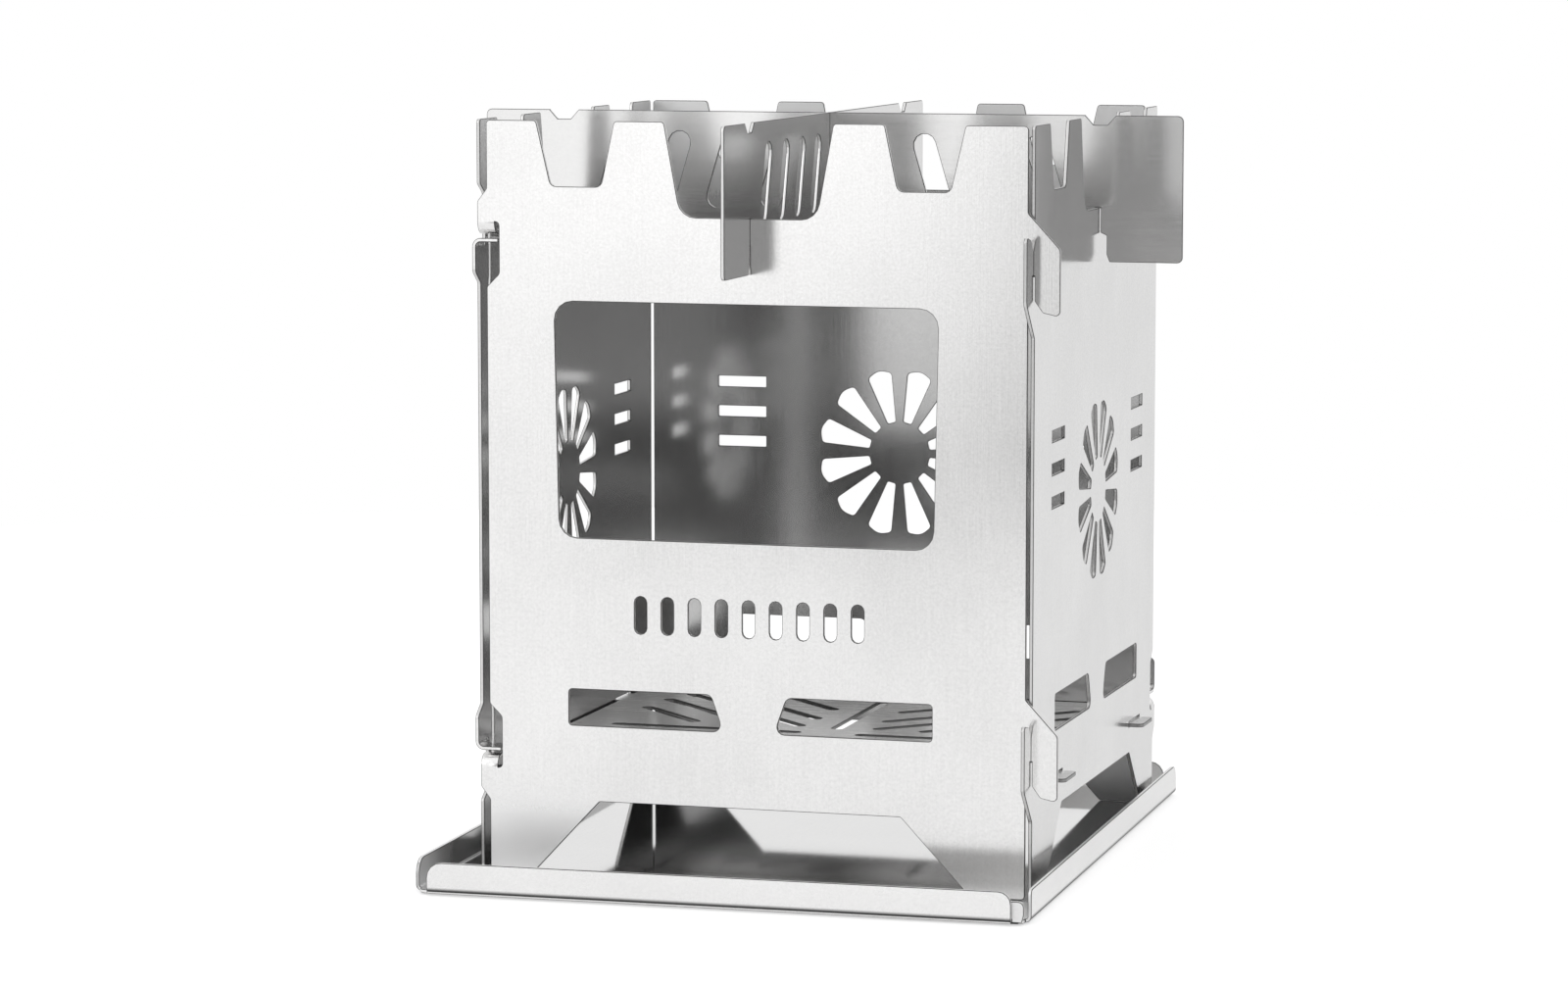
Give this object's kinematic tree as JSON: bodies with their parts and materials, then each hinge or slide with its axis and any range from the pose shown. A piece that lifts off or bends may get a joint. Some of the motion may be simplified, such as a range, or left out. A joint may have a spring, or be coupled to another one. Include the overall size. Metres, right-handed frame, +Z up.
{
  "type": "folding hobo stove",
  "caption": "Square folding sheet-metal wood stove with hooked and hinged panels, fuel window, fire grate, ash tray and two crossed pot supports over a notched crown",
  "frame": {"origin": "centre of the square firebox on the underside of the ash tray", "axes": "+X to the right along the window panel, +Y from the window panel to the back, +Z up; the window panel faces -Y"},
  "size_m": [0.1974, 0.2098, 0.2008],
  "materials": {
    "titanium_sheet": "bright satin titanium with a fine brushed grain",
    "rod_metal": "plain satin metal"
  },
  "bodies": {
    "ash_tray": {"ash_tray": "titanium_sheet"},
    "back_right_pair": {"right_panel": "titanium_sheet", "back_panel": "titanium_sheet", "back_right_rod": "rod_metal"},
    "front_left_pair": {"front_panel": "titanium_sheet", "left_panel": "titanium_sheet", "front_left_rod": "rod_metal"},
    "fire_grate": {"fire_grate": "titanium_sheet"},
    "front_back_trivet": {"front_back_trivet": "titanium_sheet"},
    "side_to_side_trivet": {"side_to_side_trivet": "titanium_sheet"}
  },
  "joints": [
    {"name": "stove_lift", "type": "slide", "parent": "ash_tray", "child": "back_right_pair", "axis": [0, 0, 1], "range_m": [0, 0.06]},
    {"name": "hook_release", "type": "slide", "parent": "back_right_pair", "child": "front_left_pair", "axis": [0, 0, 1], "range_m": [0, 0.012]},
    {"name": "grate_tilt", "type": "hinge", "parent": "back_right_pair", "child": "fire_grate", "pos_m": [0.0755, 0, 0.02895], "axis": [0, 1, 0], "range_deg": [0, 4.6]},
    {"name": "lower_support_lift", "type": "slide", "parent": "front_left_pair", "child": "front_back_trivet", "axis": [0, 0, 1], "range_m": [0, 0.05]},
    {"name": "upper_support_lift", "type": "slide", "parent": "front_back_trivet", "child": "side_to_side_trivet", "axis": [0, 0, 1], "range_m": [0, 0.05]}
  ],
  "couplings": [
    {"joint": "grate_tilt", "follows": "hook_release", "rad_per_m": 6.63}
  ]
}
